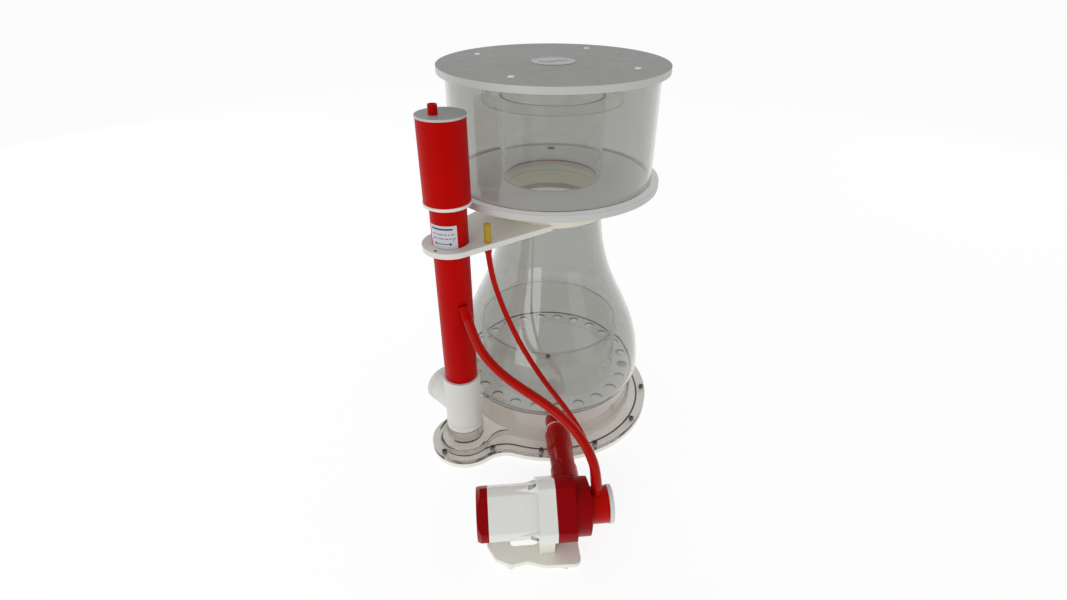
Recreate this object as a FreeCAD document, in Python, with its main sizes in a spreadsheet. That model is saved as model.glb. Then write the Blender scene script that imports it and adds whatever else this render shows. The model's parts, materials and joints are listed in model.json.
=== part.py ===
import FreeCAD, Part
import math
import os
import re

import Sketcher
from FreeCAD import Rotation, Vector

# A recirculating-pump protein skimmer: a clear reaction body on a screwed base, a lift-off
# collection cup with its lid, a turning outlet riser with an air silencer, and a needle-wheel
# pump in front. Heights are measured from the floor that the rubber feet stand on.

SHEET_VALUES = {
    # where the body's vertical axis stands in the part's frame, and the riser's place around it
    "axis_x": 14.9, "axis_y": 96.8, "riser_reach": 197.6, "riser_angle": 219.5,
    # base: plate, flange and the lobe under the riser, all cut from the same sheet
    "foot_height": 5, "sheet_thick": 8, "base_radius": 181.4, "lobe_radius": 56, "base_blend": 45,
    "seal_inset": 14, "seal_width": 3, "seal_depth": 1.6,
    # lower chamber
    "chamber_radius": 152, "chamber_wall": 5, "chamber_top": 79, "step_lobe": 44, "step_blend": 30,
    "step_top": 33.5, "inlet_radius": 16, "inlet_wall": 3, "inlet_height": 47, "inlet_offset": -3,
    # base screws and feet
    "screw_ring": 175, "screw_start": -100, "screw_pitch": 30, "screw_radius": 2.5,
    "screw_head_radius": 4.25, "screw_head_height": 5, "screw_length": 13, "hex_radius": 2.3,
    "neck_screw_ring": 193.4, "neck_screw_turn": 16, "lobe_screw_ring": 49.6,
    "foot_ring": 171, "foot_radius": 7, "lobe_foot_ring": 47,
    # bubble plate and diffuser
    "plate_thick": 4, "plate_hole_ring": 135, "plate_hole_radius": 9, "plate_hole_count": 24,
    "post_radius": 9, "diffuser_radius": 117, "diffuser_wall": 4, "diffuser_height": 94,
    # reaction body
    "foot_outer_radius": 152.5, "belly_radius": 158, "belly_z": 94, "belly_curve": 232,
    "neck_curve": 305, "cone_angle": 25.5, "neck_radius": 80, "body_wall": 4, "neck_top": 402,
    # neck collar and riser bracket
    "collar_radius": 88.6, "collar_bottom": 380, "bracket_bottom": 377, "bracket_thick": 8,
    "bracket_lobe": 39, "bracket_waist": 73, "bracket_nipple_x": -102, "bracket_nipple_y": -131.7,
    "bracket_pin_ring": 33, "bracket_pin_turn": 15, "bracket_pin_radius": 1.8,
    "bracket_stem_radius": 3, "spigot_fit": 0.6,
    # collection cup
    "cup_floor_radius": 161, "cup_floor_bottom": 422, "cup_floor_thick": 10, "cup_radius": 150,
    "cup_wall": 4, "cup_hole": 70.5, "cup_neck_radius": 76, "cup_neck_height": 118,
    "spigot_radius": 75.6, "spigot_depth": 30, "drain_ring": 130, "drain_angle": 83,
    "drain_shank": 7.5, "drain_bore": 3.5, "drain_length": 32, "drain_axis": 8,
    "drain_neck": 7, "drain_reach": 9, "drain_radius": 6, "drain_stem": 16,
    "spigot_groove": 2.5, "spigot_groove_start": 8, "spigot_groove_end": 11.5,
    "neck_seal_height": 2, "neck_seal_drop": 3.5, "spigot_step": 1.2, "spigot_step_height": 22,
    # lid
    "lid_bottom": 582.6, "lid_thick": 9.2, "lid_radius": 161.5, "lid_ring_radius": 101,
    "lid_ring_wall": 3.5, "lid_ring_height": 40, "lid_screw_ring": 121.5, "lid_screw_start": 58,
    "badge_radius": 31, "badge_thick": 0.8, "lid_hole_radius": 2.1, "lid_head_height": 1.6,
    # riser, silencer, outlet tee
    "riser_radius": 25, "riser_wall": 3, "riser_bottom": 96, "riser_top": 500, "riser_fit": 0.06,
    "window_width": 26, "window_height": 34,
    "silencer_radius": 31.5, "silencer_wall": 3, "silencer_bottom": 445, "silencer_height": 108.5,
    "cap_radius": 32.2, "cap_thick": 3, "nozzle_radius": 6, "nozzle_bore": 3.6,
    "nozzle_height": 12.5, "nozzle_shift": 10, "nozzle_angle": 212,
    "label_radius": 25.4, "label_bottom": 385.4, "label_height": 33, "label_start": 205,
    "foam_start": 6, "foam_height": 44, "nozzle_depth": 8, "nozzle_shank": 4.5,
    "tee_radius": 28.5, "tee_bottom": 56, "tee_top": 155, "tee_bead": 0.5, "tee_bead_height": 10,
    "branch_z": 104, "branch_reach": 57, "branch_angle": 128.5, "pipe_bore": 25.15,
    "socket_depth": 27,
    "stub_radius": 30.5, "spigot_top": 92,
    # pump, seen along its own axis (parallel to X)
    "pump_y": -325, "pump_z": 71, "motor_rear": -135, "cap_length": 15.5, "motor_length": 66.5,
    "motor_width": 69, "motor_round": 41.5, "flange_width": 82, "flange_round": 50,
    "white_flange": 23.5, "red_flange": 26, "volute_radius": 39.5, "volute_length": 20.5,
    "suction_radius": 25, "suction_wall": 3, "suction_length": 23, "ring_length": 6,
    "volute_room_radius": 36, "volute_front": 6, "shoulder_length": 4,
    "boss_radius": 8, "boss_tail": 1.5, "boss_length": 26, "boss_ring": 41, "motor_bore": 30.5,
    "pump_head_radius": 3.6, "head_room_radius": 3.9, "head_room": 12, "cap_bevel": 6,
    "outlet_radius": 16, "outlet_bore": 13, "outlet_end": -240, "sleeve_start": -266,
    "sleeve_radius": 20.5, "sleeve_waist": 18.6, "inlet_start": -197, "inlet_length": 72,
    "pump_screw_ring": 44.7, "pump_screw_grip": 15, "pump_head_height": 4,
    "gland_x": 40, "gland_radius": 8, "gland_bore": 3.6, "gland_length": 14,
    "stator_bore": 21, "stator_start": 5, "stator_length": 60,
    "can_radius": 20.9, "can_bore": 19.4, "can_floor": 3, "can_start": 2, "can_length": 84,
    "bearing_length": 5, "shaft_fit": 0.05, "shaft_length": 102,
    "rotor_radius": 17.5, "rotor_length": 56, "rotor_start": 15, "shaft_radius": 3,
    "wheel_radius": 32, "wheel_disc": 3, "hub_radius": 8, "hub_length": 16, "pin_radius": 1.4,
    "pin_length": 14,
    "foot_plate_thick": 7, "foot_plate_round": 9, "foot_slot_round": 5,
    # hoses
    "air_hose_radius": 6.75, "dose_hose_radius": 4,
}

doc = FreeCAD.newDocument("ProteinSkimmer")
sheet = doc.addObject("Spreadsheet::Sheet", "Dims")
for row, (word, value) in enumerate(SHEET_VALUES.items(), start=1):
    sheet.set("A%d" % row, word)
    sheet.set("B%d" % row, str(value))
    sheet.setAlias("B%d" % row, word)
doc.recompute()

UPRIGHT = Rotation()
ALONG_X = Rotation(Vector(0, 1, 0), 90)
ALONG_Y = Rotation(Vector(1, 0, 0), -90)
AXIS = ("axis_x", "axis_y")
RISER = ("axis_x + riser_reach * cos(riser_angle)", "axis_y + riser_reach * sin(riser_angle)")
sub_parts = {}


def size(word):
    """One driving dimension from the sheet."""
    return float(sheet.get(word))


def expression(text):
    """A sum in plain sheet words, turned into a FreeCAD expression."""
    return re.sub(r"[a-z_]{4,}", lambda found: "Dims." + found.group(0), text)


def number(text):
    """The value of a sum of sheet words and numbers, used to draw a sketch before it is bound."""
    total = 0.0
    sign = 1
    for word in text.split():
        if word in "+-":
            sign = 1 if word == "+" else -1
        else:
            total += sign * (size(word) if word[0].isalpha() else float(word))
    return total


def bind(item, **sizes):
    for name, text in sizes.items():
        item.setExpression(name, expression(text))


def place(item, x="0", y="0", z="0", turn=UPRIGHT):
    item.Placement = FreeCAD.Placement(Vector(), turn)
    for name, text in (("x", x), ("y", y), ("z", z)):
        item.setExpression("Placement.Base." + name, expression(text))
    return item


def sub_part(label, item):
    item.Label = label
    sub_parts[label] = item
    return item


def cylinder(name, radius, height, x="axis_x", y="axis_y", z="0", turn=UPRIGHT):
    item = doc.addObject("Part::Cylinder", name)
    bind(item, Radius=radius, Height=height)
    return place(item, x, y, z, turn)


def cone(name, lower, upper, height, x="axis_x", y="axis_y", z="0", turn=UPRIGHT):
    item = doc.addObject("Part::Cone", name)
    bind(item, Radius1=lower, Radius2=upper, Height=height)
    return place(item, x, y, z, turn)


def box(name, length, width, height, x, y, z, turn=UPRIGHT):
    item = doc.addObject("Part::Box", name)
    bind(item, Length=length, Width=width, Height=height)
    return place(item, x, y, z, turn)


def fuse(name, items):
    item = doc.addObject("Part::MultiFuse", name)
    item.Shapes = items
    item.Refine = True
    return item


def cut(name, base, *tools):
    item = doc.addObject("Part::Cut", name)
    item.Base = base
    item.Tool = tools[0] if len(tools) == 1 else fuse(name + "_tools", list(tools))
    return item


def common(name, base, tool):
    item = doc.addObject("Part::Common", name)
    item.Base = base
    item.Tool = tool
    return item


def group(name, items):
    item = doc.addObject("Part::Compound", name)
    item.Links = items
    return item


def tube(name, outer, inner, height, x="axis_x", y="axis_y", z="0", turn=UPRIGHT):
    shell = cylinder(name + "_outside", outer, height, x, y, z, turn)
    hollow = cylinder(name + "_inside", inner, height, x, y, z, turn)
    return cut(name, shell, hollow)


def around(ring, angle, centre=AXIS):
    """The x and y expressions of a place on a ring about a vertical axis."""
    return ("%s + %s * cos(%s)" % (centre[0], ring, angle),
            "%s + %s * sin(%s)" % (centre[1], ring, angle))


def new_sketch(body, name, plane="XY_Plane"):
    sketch = body.newObject("Sketcher::SketchObject", name)
    origin_plane = [item for item in body.Origin.OriginFeatures if item.Role == plane][0]
    sketch.AttachmentSupport = [(origin_plane, "")]
    sketch.MapMode = "FlatFace"
    return sketch


def bound_constraint(sketch, text, *what):
    """A sketch dimension whose value comes from the sheet."""
    index = sketch.addConstraint(Sketcher.Constraint(*what, number(text)))
    sketch.setExpression("Constraints[%d]" % index, expression(text))


def turned(name, corners, x="axis_x", y="axis_y", z="0", turn=UPRIGHT):
    """A body turned about its own upright axis from (radius, height) corners of its section."""
    body = doc.addObject("PartDesign::Body", name)
    sketch = new_sketch(body, name + "_section", "XZ_Plane")
    points = [Vector(number(across), number(up), 0) for across, up in corners]
    for index, point in enumerate(points):
        following = points[(index + 1) % len(points)]
        sketch.addGeometry(Part.LineSegment(point, following), False)
    for index, (across, up) in enumerate(corners):
        before = (index - 1) % len(corners)
        sketch.addConstraint(Sketcher.Constraint("Coincident", before, 2, index, 1))
        for kind, axis, text in (("DistanceX", -2, across), ("DistanceY", -1, up)):
            if text == "0":
                sketch.addConstraint(Sketcher.Constraint("PointOnObject", index, 1, axis))
            else:
                bound_constraint(sketch, text, kind, -1, 1, index, 1)
    spin = body.newObject("PartDesign::Revolution", name + "_turn")
    spin.Profile = sketch
    spin.ReferenceAxis = (sketch, ["V_Axis"])
    spin.Angle = 360
    return place(body, x, y, z, turn)


def lobed_sketch(body, name, main, lobe, blend):
    """A big circle on the origin and a small one at riser_reach, joined by two hollow arcs."""
    big, small, hollow, reach = number(main), number(lobe), number(blend), size("riser_reach")
    to_big, to_small = big + hollow, small + hollow
    at_big = math.acos((to_big ** 2 + reach ** 2 - to_small ** 2) / (2 * to_big * reach))
    at_small = math.acos((to_small ** 2 + reach ** 2 - to_big ** 2) / (2 * to_small * reach))
    sketch = new_sketch(body, name)

    def arc(centre, radius, start, end):
        circle = Part.Circle(Vector(*centre, 0), Vector(0, 0, 1), radius)
        return sketch.addGeometry(Part.ArcOfCircle(circle, start, end), False)

    beside = (to_big * math.cos(at_big), to_big * math.sin(at_big))
    main_arc = arc((0, 0), big, at_big, 2 * math.pi - at_big)
    upper = arc(beside, hollow, at_big + math.pi, 2 * math.pi - at_small)
    small_arc = arc((reach, 0), small, at_small - math.pi, math.pi - at_small)
    lower = arc((beside[0], -beside[1]), hollow, at_small, math.pi - at_big)
    for ends in ((main_arc, 1, upper, 1), (upper, 2, small_arc, 2),
                 (small_arc, 1, lower, 1), (lower, 2, main_arc, 2)):
        sketch.addConstraint(Sketcher.Constraint("Tangent", *ends))
    sketch.addConstraint(Sketcher.Constraint("Coincident", main_arc, 3, -1, 1))
    sketch.addConstraint(Sketcher.Constraint("PointOnObject", small_arc, 3, -1))
    bound_constraint(sketch, "riser_reach", "DistanceX", -1, 1, small_arc, 3)
    for edge, text in ((main_arc, main), (small_arc, lobe), (upper, blend), (lower, blend)):
        bound_constraint(sketch, text, "Radius", edge)
    return sketch


def strap_sketch(body, name, main, lobe):
    """Two circles at riser_reach from each other, joined by their outer tangent lines."""
    big, small, reach = number(main), number(lobe), size("riser_reach")
    lean = math.acos((big - small) / reach)
    sketch = new_sketch(body, name)

    def corner(centre, radius, angle):
        return Vector(centre + radius * math.cos(angle), radius * math.sin(angle), 0)

    def arc(centre, radius, start, end):
        circle = Part.Circle(Vector(centre, 0, 0), Vector(0, 0, 1), radius)
        return sketch.addGeometry(Part.ArcOfCircle(circle, start, end), False)

    big_arc = arc(0, big, lean, 2 * math.pi - lean)
    small_arc = arc(reach, small, -lean, lean)
    near = sketch.addGeometry(Part.LineSegment(corner(0, big, -lean), corner(reach, small, -lean)))
    far = sketch.addGeometry(Part.LineSegment(corner(reach, small, lean), corner(0, big, lean)))
    for ends in ((big_arc, 2, near, 1), (near, 2, small_arc, 1),
                 (small_arc, 2, far, 1), (far, 2, big_arc, 1)):
        sketch.addConstraint(Sketcher.Constraint("Tangent", *ends))
    sketch.addConstraint(Sketcher.Constraint("Coincident", big_arc, 3, -1, 1))
    sketch.addConstraint(Sketcher.Constraint("PointOnObject", small_arc, 3, -1))
    bound_constraint(sketch, "riser_reach", "DistanceX", -1, 1, small_arc, 3)
    bound_constraint(sketch, main, "Radius", big_arc)
    bound_constraint(sketch, lobe, "Radius", small_arc)
    return sketch


def sheet_pad(name, outline, radii, thickness, z):
    """A flat piece with a lobed or strap outline that points from the axis to the riser."""
    body = doc.addObject("PartDesign::Body", name)
    sketch = outline(body, name + "_outline", *radii)
    pad = body.newObject("PartDesign::Pad", name + "_pad")
    pad.Profile = sketch
    bind(pad, Length=thickness)
    return place(body, *AXIS, z, Rotation(Vector(0, 0, 1), size("riser_angle")))


# --- base ----------------------------------------------------------------------------------

FLANGE_Z = "foot_height + sheet_thick"
FLANGE_TOP = "foot_height + 2 * sheet_thick"
MAIN_SCREWS = 10
LOBE_SCREW_TURNS = (5, -100)
MAIN_FOOT_TURNS = (307, 7, 67, 127)
LOBE_FOOT_TURNS = (84, -84)


def flange_screw_places():
    """Ten screws round the main circle, one each side of the neck and two on the lobe."""
    places = [around("screw_ring", "screw_start + %d * screw_pitch" % index)
              for index in range(MAIN_SCREWS)]
    for side in ("+", "-"):
        places.append(around("neck_screw_ring", "riser_angle %s neck_screw_turn" % side))
    for turn in LOBE_SCREW_TURNS:
        places.append(around("lobe_screw_ring", "riser_angle + %d" % turn, RISER))
    return places


def base_radii(*insets):
    """The base outline moved inwards: both circles shrink and the hollow arcs grow."""
    inward = "".join(" - " + inset for inset in insets)
    outward = "".join(" + " + inset for inset in insets)
    return "base_radius" + inward, "lobe_radius" + inward, "base_blend" + outward


def seal_ring(name, z):
    """A ring along the base outline, as wide and deep as the seal's groove."""
    outside = sheet_pad(name + "_outside", lobed_sketch, base_radii("seal_inset"),
                        "seal_depth", z)
    inside = sheet_pad(name + "_inside", lobed_sketch, base_radii("seal_inset", "seal_width"),
                       "seal_depth", z)
    return outside, inside


def make_base():
    groove_z = FLANGE_Z + " - seal_depth"
    radii = ("base_radius", "lobe_radius", "base_blend")
    plate = sheet_pad("base_sheet", lobed_sketch, radii, "sheet_thick", "foot_height")
    groove = cut("seal_groove", *seal_ring("groove", groove_z))
    holes = [cylinder("plate_hole_%d" % index, "screw_radius", "screw_length", x, y,
                      FLANGE_TOP + " - screw_length")
             for index, (x, y) in enumerate(flange_screw_places())]
    sub_part("base_plate", cut("base_plate_cut", plate, groove, *holes))
    sub_part("base_seal", cut("base_seal_ring", *seal_ring("seal", groove_z)))
    feet = [cone("foot_%d" % index, "foot_radius - 1.5", "foot_radius", "foot_height", x, y)
            for index, (x, y) in enumerate(
                [around("foot_ring", str(turn)) for turn in MAIN_FOOT_TURNS]
                + [around("lobe_foot_ring", "riser_angle + %d" % turn, RISER)
                   for turn in LOBE_FOOT_TURNS])]
    sub_part("base_feet", group("base_feet_group", feet))


def make_lower_chamber():
    """Flange, drum and the low step that leads to the outlet lobe, bonded into one clear piece."""
    flange = sheet_pad("flange_sheet", lobed_sketch, ("base_radius", "lobe_radius", "base_blend"),
                       "sheet_thick", FLANGE_Z)
    step_radii = ("chamber_radius", "step_lobe", "step_blend")
    step = sheet_pad("step_block", lobed_sketch, step_radii, "step_top - foot_height - sheet_thick",
                     FLANGE_Z)
    drum = cylinder("drum_block", "chamber_radius", "chamber_top - foot_height - sheet_thick",
                    z=FLANGE_Z)
    hollow_radii = ("chamber_radius - chamber_wall", "step_lobe - chamber_wall",
                    "step_blend + chamber_wall")
    channel = sheet_pad("step_hollow", lobed_sketch, hollow_radii,
                        "step_top - foot_height - sheet_thick - chamber_wall", FLANGE_Z)
    room = cylinder("drum_hollow", "chamber_radius - chamber_wall",
                    "chamber_top - foot_height - sheet_thick", z=FLANGE_Z)
    outlet = cylinder("outlet_hole", "riser_radius - riser_wall", "chamber_wall + 2", *RISER,
                      "step_top - chamber_wall - 1")
    inlet = cylinder("inlet_hole", "inlet_radius", "chamber_wall * 4",
                     "axis_x + inlet_offset", "axis_y - chamber_radius - chamber_wall",
                     "inlet_height", ALONG_Y)
    holes = [cylinder("flange_hole_%d" % index, "screw_radius", "sheet_thick", x, y, FLANGE_Z)
             for index, (x, y) in enumerate(flange_screw_places())]
    solid = fuse("chamber_solid", [flange, step, drum])
    sub_part("lower_chamber", cut("lower_chamber_cut", solid, channel, room, outlet, inlet, *holes))


def socket_screw(name, x, y, z):
    """A socket-head cap screw standing with its head's underside at z."""
    head = cylinder(name + "_head", "screw_head_radius", "screw_head_height", x, y, z)
    shank = cylinder(name + "_shank", "screw_radius - 0.1", "screw_length - 1", x, y,
                     z + " - screw_length + 1")
    socket = doc.addObject("Part::Prism", name + "_socket")
    bind(socket, Circumradius="hex_radius", Height="screw_head_height * 0.6")
    place(socket, x, y, z + " + screw_head_height * 0.4")
    return cut(name, fuse(name + "_solid", [head, shank]), socket)


def make_base_screws():
    screws = [socket_screw("flange_screw_%d" % index, x, y, FLANGE_TOP)
              for index, (x, y) in enumerate(flange_screw_places())]
    sub_part("flange_screws", group("flange_screws_group", screws))


# --- inside the body -----------------------------------------------------------------------

def make_bubble_plate():
    """A frosted disc with one ring of holes, patterned round its centre."""
    body = doc.addObject("PartDesign::Body", "bubble_disc")
    sketch = new_sketch(body, "disc_circle")
    sketch.addGeometry(Part.Circle(Vector(), Vector(0, 0, 1), size("chamber_radius")), False)
    sketch.addConstraint(Sketcher.Constraint("Coincident", 0, 3, -1, 1))
    bound_constraint(sketch, "chamber_radius", "Radius", 0)
    pad = body.newObject("PartDesign::Pad", "disc_pad")
    pad.Profile = sketch
    bind(pad, Length="plate_thick")
    hole_sketch = new_sketch(body, "one_hole")
    hole = Part.Circle(Vector(size("plate_hole_ring"), 0, 0), Vector(0, 0, 1),
                       size("plate_hole_radius"))
    hole_sketch.addGeometry(hole, False)
    hole_sketch.addConstraint(Sketcher.Constraint("PointOnObject", 0, 3, -1))
    bound_constraint(hole_sketch, "plate_hole_ring", "DistanceX", -1, 1, 0, 3)
    bound_constraint(hole_sketch, "plate_hole_radius", "Radius", 0)
    pocket = body.newObject("PartDesign::Pocket", "hole_pocket")
    pocket.Profile = hole_sketch
    pocket.Type = "ThroughAll"
    pocket.Reversed = True
    pattern = body.newObject("PartDesign::PolarPattern", "hole_pattern")
    pattern.Originals = [pocket]
    pattern.Axis = (hole_sketch, ["N_Axis"])
    pattern.Angle = 360
    bind(pattern, Occurrences="plate_hole_count")
    body.Tip = pattern
    place(body, *AXIS, "chamber_top")
    centre_hole = cylinder("plate_centre_hole", "screw_radius", "plate_thick", z="chamber_top")
    sub_part("bubble_plate", cut("bubble_plate_cut", body, centre_hole))


def make_body_inside():
    post = cylinder("post_rod", "post_radius", "chamber_top - foot_height - sheet_thick",
                    z=FLANGE_Z)
    post_hole = cylinder("post_hole", "screw_radius", "screw_length", z="chamber_top - screw_length")
    sub_part("plate_post", cut("plate_post_cut", post, post_hole))
    sub_part("plate_screw", socket_screw("plate_screw_solid", *AXIS, "chamber_top + plate_thick"))
    sub_part("diffuser_ring", tube("diffuser_tube", "diffuser_radius",
                                   "diffuser_radius - diffuser_wall", "diffuser_height",
                                   z="chamber_top + plate_thick"))


def body_section(wall):
    """The body's outline from its foot to its neck, moved inwards by wall."""
    lean = math.radians(size("cone_angle"))
    foot_z = size("chamber_top") + size("plate_thick")
    belly_z, belly = size("belly_z"), size("belly_radius")
    rise = belly_z - foot_z
    tuck = belly - size("foot_outer_radius")
    foot_curve = (rise ** 2 + tuck ** 2) / (2 * tuck)
    belly_centre = Vector(belly - size("belly_curve"), 0, belly_z)
    shoulder = belly_centre + Vector(math.cos(lean), 0, math.sin(lean)) * size("belly_curve")
    neck_in = size("neck_curve") * (1 - math.cos(lean))
    fall = (shoulder.x - size("neck_radius") - neck_in) / math.tan(lean)
    neck_z = shoulder.z + fall + size("neck_curve") * math.sin(lean)
    neck_centre = Vector(size("neck_radius") + size("neck_curve"), 0, neck_z)
    foot_centre = Vector(belly - foot_curve, 0, belly_z)
    foot_lean = -math.asin(rise / foot_curve)

    def on(centre, radius, angle):
        return centre + Vector(math.cos(angle), 0, math.sin(angle)) * radius

    inner_belly = size("belly_curve") - wall
    inner_neck = size("neck_curve") + wall
    inner_foot = foot_curve - wall
    foot_start = Vector(size("foot_outer_radius") - wall, 0, foot_z)
    first = Part.Arc(foot_start, on(foot_centre, inner_foot, foot_lean / 2),
                     on(foot_centre, inner_foot, 0))
    second = Part.Arc(on(belly_centre, inner_belly, 0), on(belly_centre, inner_belly, lean / 2),
                      on(belly_centre, inner_belly, lean))
    third = Part.Arc(on(neck_centre, inner_neck, math.pi + lean),
                     on(neck_centre, inner_neck, math.pi + lean / 2),
                     on(neck_centre, inner_neck, math.pi))
    top = Vector(size("neck_radius") - wall, 0, size("neck_top"))
    slope = Part.LineSegment(second.EndPoint, third.StartPoint)
    neck = Part.LineSegment(third.EndPoint, top)
    return [first, second, slope, third, neck]


def make_reaction_body():
    """The clear double-cone shell: a blown form with one wall thickness all the way up."""
    outside = body_section(0)
    inside = body_section(size("body_wall"))
    foot = Part.LineSegment(inside[0].StartPoint, outside[0].StartPoint)
    rim = Part.LineSegment(outside[-1].EndPoint, inside[-1].EndPoint)
    edges = [curve.toShape() for curve in outside + [rim] + inside + [foot]]
    wire = Part.Wire(Part.__sortEdges__(edges))
    shell = doc.addObject("Part::Feature", "reaction_shell")
    shell.Shape = Part.Face(wire).revolve(Vector(), Vector(0, 0, 1), 360)
    sub_part("reaction_body", place(shell, *AXIS))


# --- neck, bracket and outlet --------------------------------------------------------------

def make_neck():
    collar = [("neck_radius", "collar_bottom"), ("collar_radius", "collar_bottom"),
              ("collar_radius", "cup_floor_bottom"), ("spigot_radius + spigot_fit", "cup_floor_bottom"),
              ("spigot_radius + spigot_fit", "neck_top"), ("neck_radius", "neck_top")]
    sub_part("neck_collar", turned("neck_collar_ring", collar))
    arm = sheet_pad("bracket_sheet", strap_sketch, ("bracket_waist", "bracket_lobe"),
                    "bracket_thick", "bracket_bottom")
    notch = cylinder("bracket_notch", "collar_radius", "bracket_thick", z="bracket_bottom")
    bearing = cylinder("bracket_bearing", "riser_radius + riser_fit", "bracket_thick", *RISER,
                       "bracket_bottom")
    nipple = ("axis_x + bracket_nipple_x", "axis_y + bracket_nipple_y")
    nipple_hole = cylinder("bracket_nipple_hole", "bracket_stem_radius", "bracket_thick", *nipple,
                           "bracket_bottom")
    pin = around("bracket_pin_ring", "riser_angle + bracket_pin_turn", RISER)
    pin_hole = cylinder("bracket_pin_hole", "bracket_pin_radius", "bracket_thick", *pin,
                        "bracket_bottom")
    sub_part("riser_bracket", cut("riser_bracket_cut", arm, notch, bearing, nipple_hole, pin_hole))
    sub_part("bracket_pin", cylinder("bracket_pin_rod", "bracket_pin_radius",
                                     "bracket_thick + 0.4", *pin, "bracket_bottom"))
    stem = [("1.6", "-7.8"), ("5", "-7.8"), ("5", "0"), ("bracket_stem_radius", "0"),
            ("bracket_stem_radius", "bracket_thick"), ("4.6", "bracket_thick"),
            ("4.6", "bracket_thick + 0.6"), ("2.2", "bracket_thick + 0.6"),
            ("2.2", "bracket_thick + 10.8"), ("1.6", "bracket_thick + 10.8")]
    sub_part("bracket_nipple", turned("bracket_nipple_stem", stem, *nipple, "bracket_bottom"))
    plug = [("0", "11"), ("2.3", "11"), ("2.3", "0.8"), ("4.8", "0.8"), ("4.8", "25"),
            ("3.6", "27"), ("0", "27")]
    sub_part("valve_plug", turned("valve_plug_cap", plug, *nipple,
                                  "bracket_bottom + bracket_thick"))


def make_outlet():
    stub = [("riser_radius - riser_wall", "step_top"), ("stub_radius", "step_top"),
            ("stub_radius", "tee_bottom"), ("pipe_bore", "tee_bottom"),
            ("pipe_bore", "spigot_top"), ("riser_radius - riser_wall", "spigot_top")]
    sub_part("outlet_stub", turned("outlet_stub_pipe", stub, *RISER))
    run = cylinder("tee_run", "tee_radius", "tee_top - tee_bottom", *RISER, "tee_bottom")
    beads = [cylinder("tee_bead_%d" % index, "tee_radius + tee_bead", "tee_bead_height", *RISER, z)
             for index, z in enumerate(("tee_bottom", "tee_top - tee_bead_height"))]
    aim = Rotation(Vector(0, 0, 1), size("branch_angle")).multiply(ALONG_X)
    branch = cylinder("tee_branch", "tee_radius", "branch_reach", *RISER, "branch_z", aim)
    rim = cylinder("tee_branch_rim", "tee_radius + tee_bead", "tee_bead_height",
                   *around("(branch_reach - tee_bead_height)", "branch_angle", RISER),
                   "branch_z", aim)
    lower_bore = cylinder("tee_lower_bore", "pipe_bore", "spigot_top - tee_bottom + 3", *RISER,
                          "tee_bottom")
    upper_bore = cylinder("tee_upper_bore", "riser_radius + riser_fit",
                          "tee_top - spigot_top - 3", *RISER, "spigot_top + 3")
    branch_bore = cylinder("tee_branch_bore", "riser_radius - riser_wall", "branch_reach", *RISER,
                           "branch_z", aim)
    socket = cylinder("tee_branch_socket", "pipe_bore", "socket_depth",
                      *around("(branch_reach - socket_depth)", "branch_angle", RISER),
                      "branch_z", aim)
    solid = fuse("tee_solid", [run, branch, rim] + beads)
    sub_part("outlet_tee", cut("outlet_tee_cut", solid, lower_bore, upper_bore, branch_bore,
                               socket))


# --- riser ---------------------------------------------------------------------------------

NIPPLE_TURN = -62
NIPPLE_Z = 293
NIPPLE_DROP = 54
NIPPLE_LENGTH = 19.8


def make_riser():
    wall = tube("riser_pipe", "riser_radius", "riser_radius - riser_wall",
                "riser_top - riser_bottom", *RISER, "riser_bottom")
    aim = Rotation(Vector(0, 0, 1), size("branch_angle"))
    window = box("riser_window", "riser_radius + 5", "window_width", "window_height",
                 "%s - window_width / 2 * cos(branch_angle + 90)" % RISER[0],
                 "%s - window_width / 2 * sin(branch_angle + 90)" % RISER[1],
                 "branch_z - window_height / 2", aim)
    sub_part("riser_tube", cut("riser_tube_cut", wall, window))
    outward = Rotation(Vector(0, 0, 1), NIPPLE_TURN).multiply(
        Rotation(Vector(0, 1, 0), 90 + NIPPLE_DROP))
    on_wall = around("riser_radius", str(NIPPLE_TURN), RISER)
    stem = cylinder("hose_nipple_stem", "air_hose_radius + 0.4", str(NIPPLE_LENGTH), *on_wall,
                    str(NIPPLE_Z), outward)
    pipe = cylinder("hose_nipple_pipe", "riser_radius", "riser_top - riser_bottom", *RISER,
                    "riser_bottom")
    sub_part("hose_nipple", cut("hose_nipple_cut", stem, pipe))
    sticker = tube("riser_label_ring", "label_radius", "riser_radius", "label_height", *RISER,
                   "label_bottom")
    sector = box("label_sector", "60", "60", "label_height", *RISER, "label_bottom",
                 Rotation(Vector(0, 0, 1), size("label_start")))
    sub_part("riser_label", common("riser_label_patch", sticker, sector))


def make_silencer():
    sub_part("silencer_body", tube("silencer_tube", "silencer_radius",
                                   "silencer_radius - silencer_wall", "silencer_height", *RISER,
                                   "silencer_bottom"))
    sub_part("silencer_base", tube("silencer_base_ring", "cap_radius", "riser_radius",
                                   "cap_thick + 1.3", *RISER, "silencer_bottom - cap_thick - 1.3"))
    nozzle = around("nozzle_shift", "nozzle_angle", RISER)
    cap = cylinder("silencer_cap_disc", "cap_radius", "cap_thick", *RISER,
                   "silencer_bottom + silencer_height")
    cap_hole = cylinder("silencer_cap_hole", "nozzle_shank", "cap_thick", *nozzle,
                        "silencer_bottom + silencer_height")
    sub_part("silencer_cap", cut("silencer_cap_cut", cap, cap_hole))
    stem = [("nozzle_bore", "0 - nozzle_depth"), ("nozzle_shank", "0 - nozzle_depth"),
            ("nozzle_shank", "cap_thick"),
            ("nozzle_radius", "cap_thick"), ("nozzle_radius", "cap_thick + nozzle_height"),
            ("nozzle_bore", "cap_thick + nozzle_height")]
    sub_part("air_nozzle", turned("air_nozzle_stem", stem, *nozzle,
                                  "silencer_bottom + silencer_height"))
    sub_part("silencer_foam", tube("silencer_foam_ring", "silencer_radius - silencer_wall",
                                   "riser_radius", "foam_height", *RISER,
                                   "silencer_bottom + foam_start"))


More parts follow.
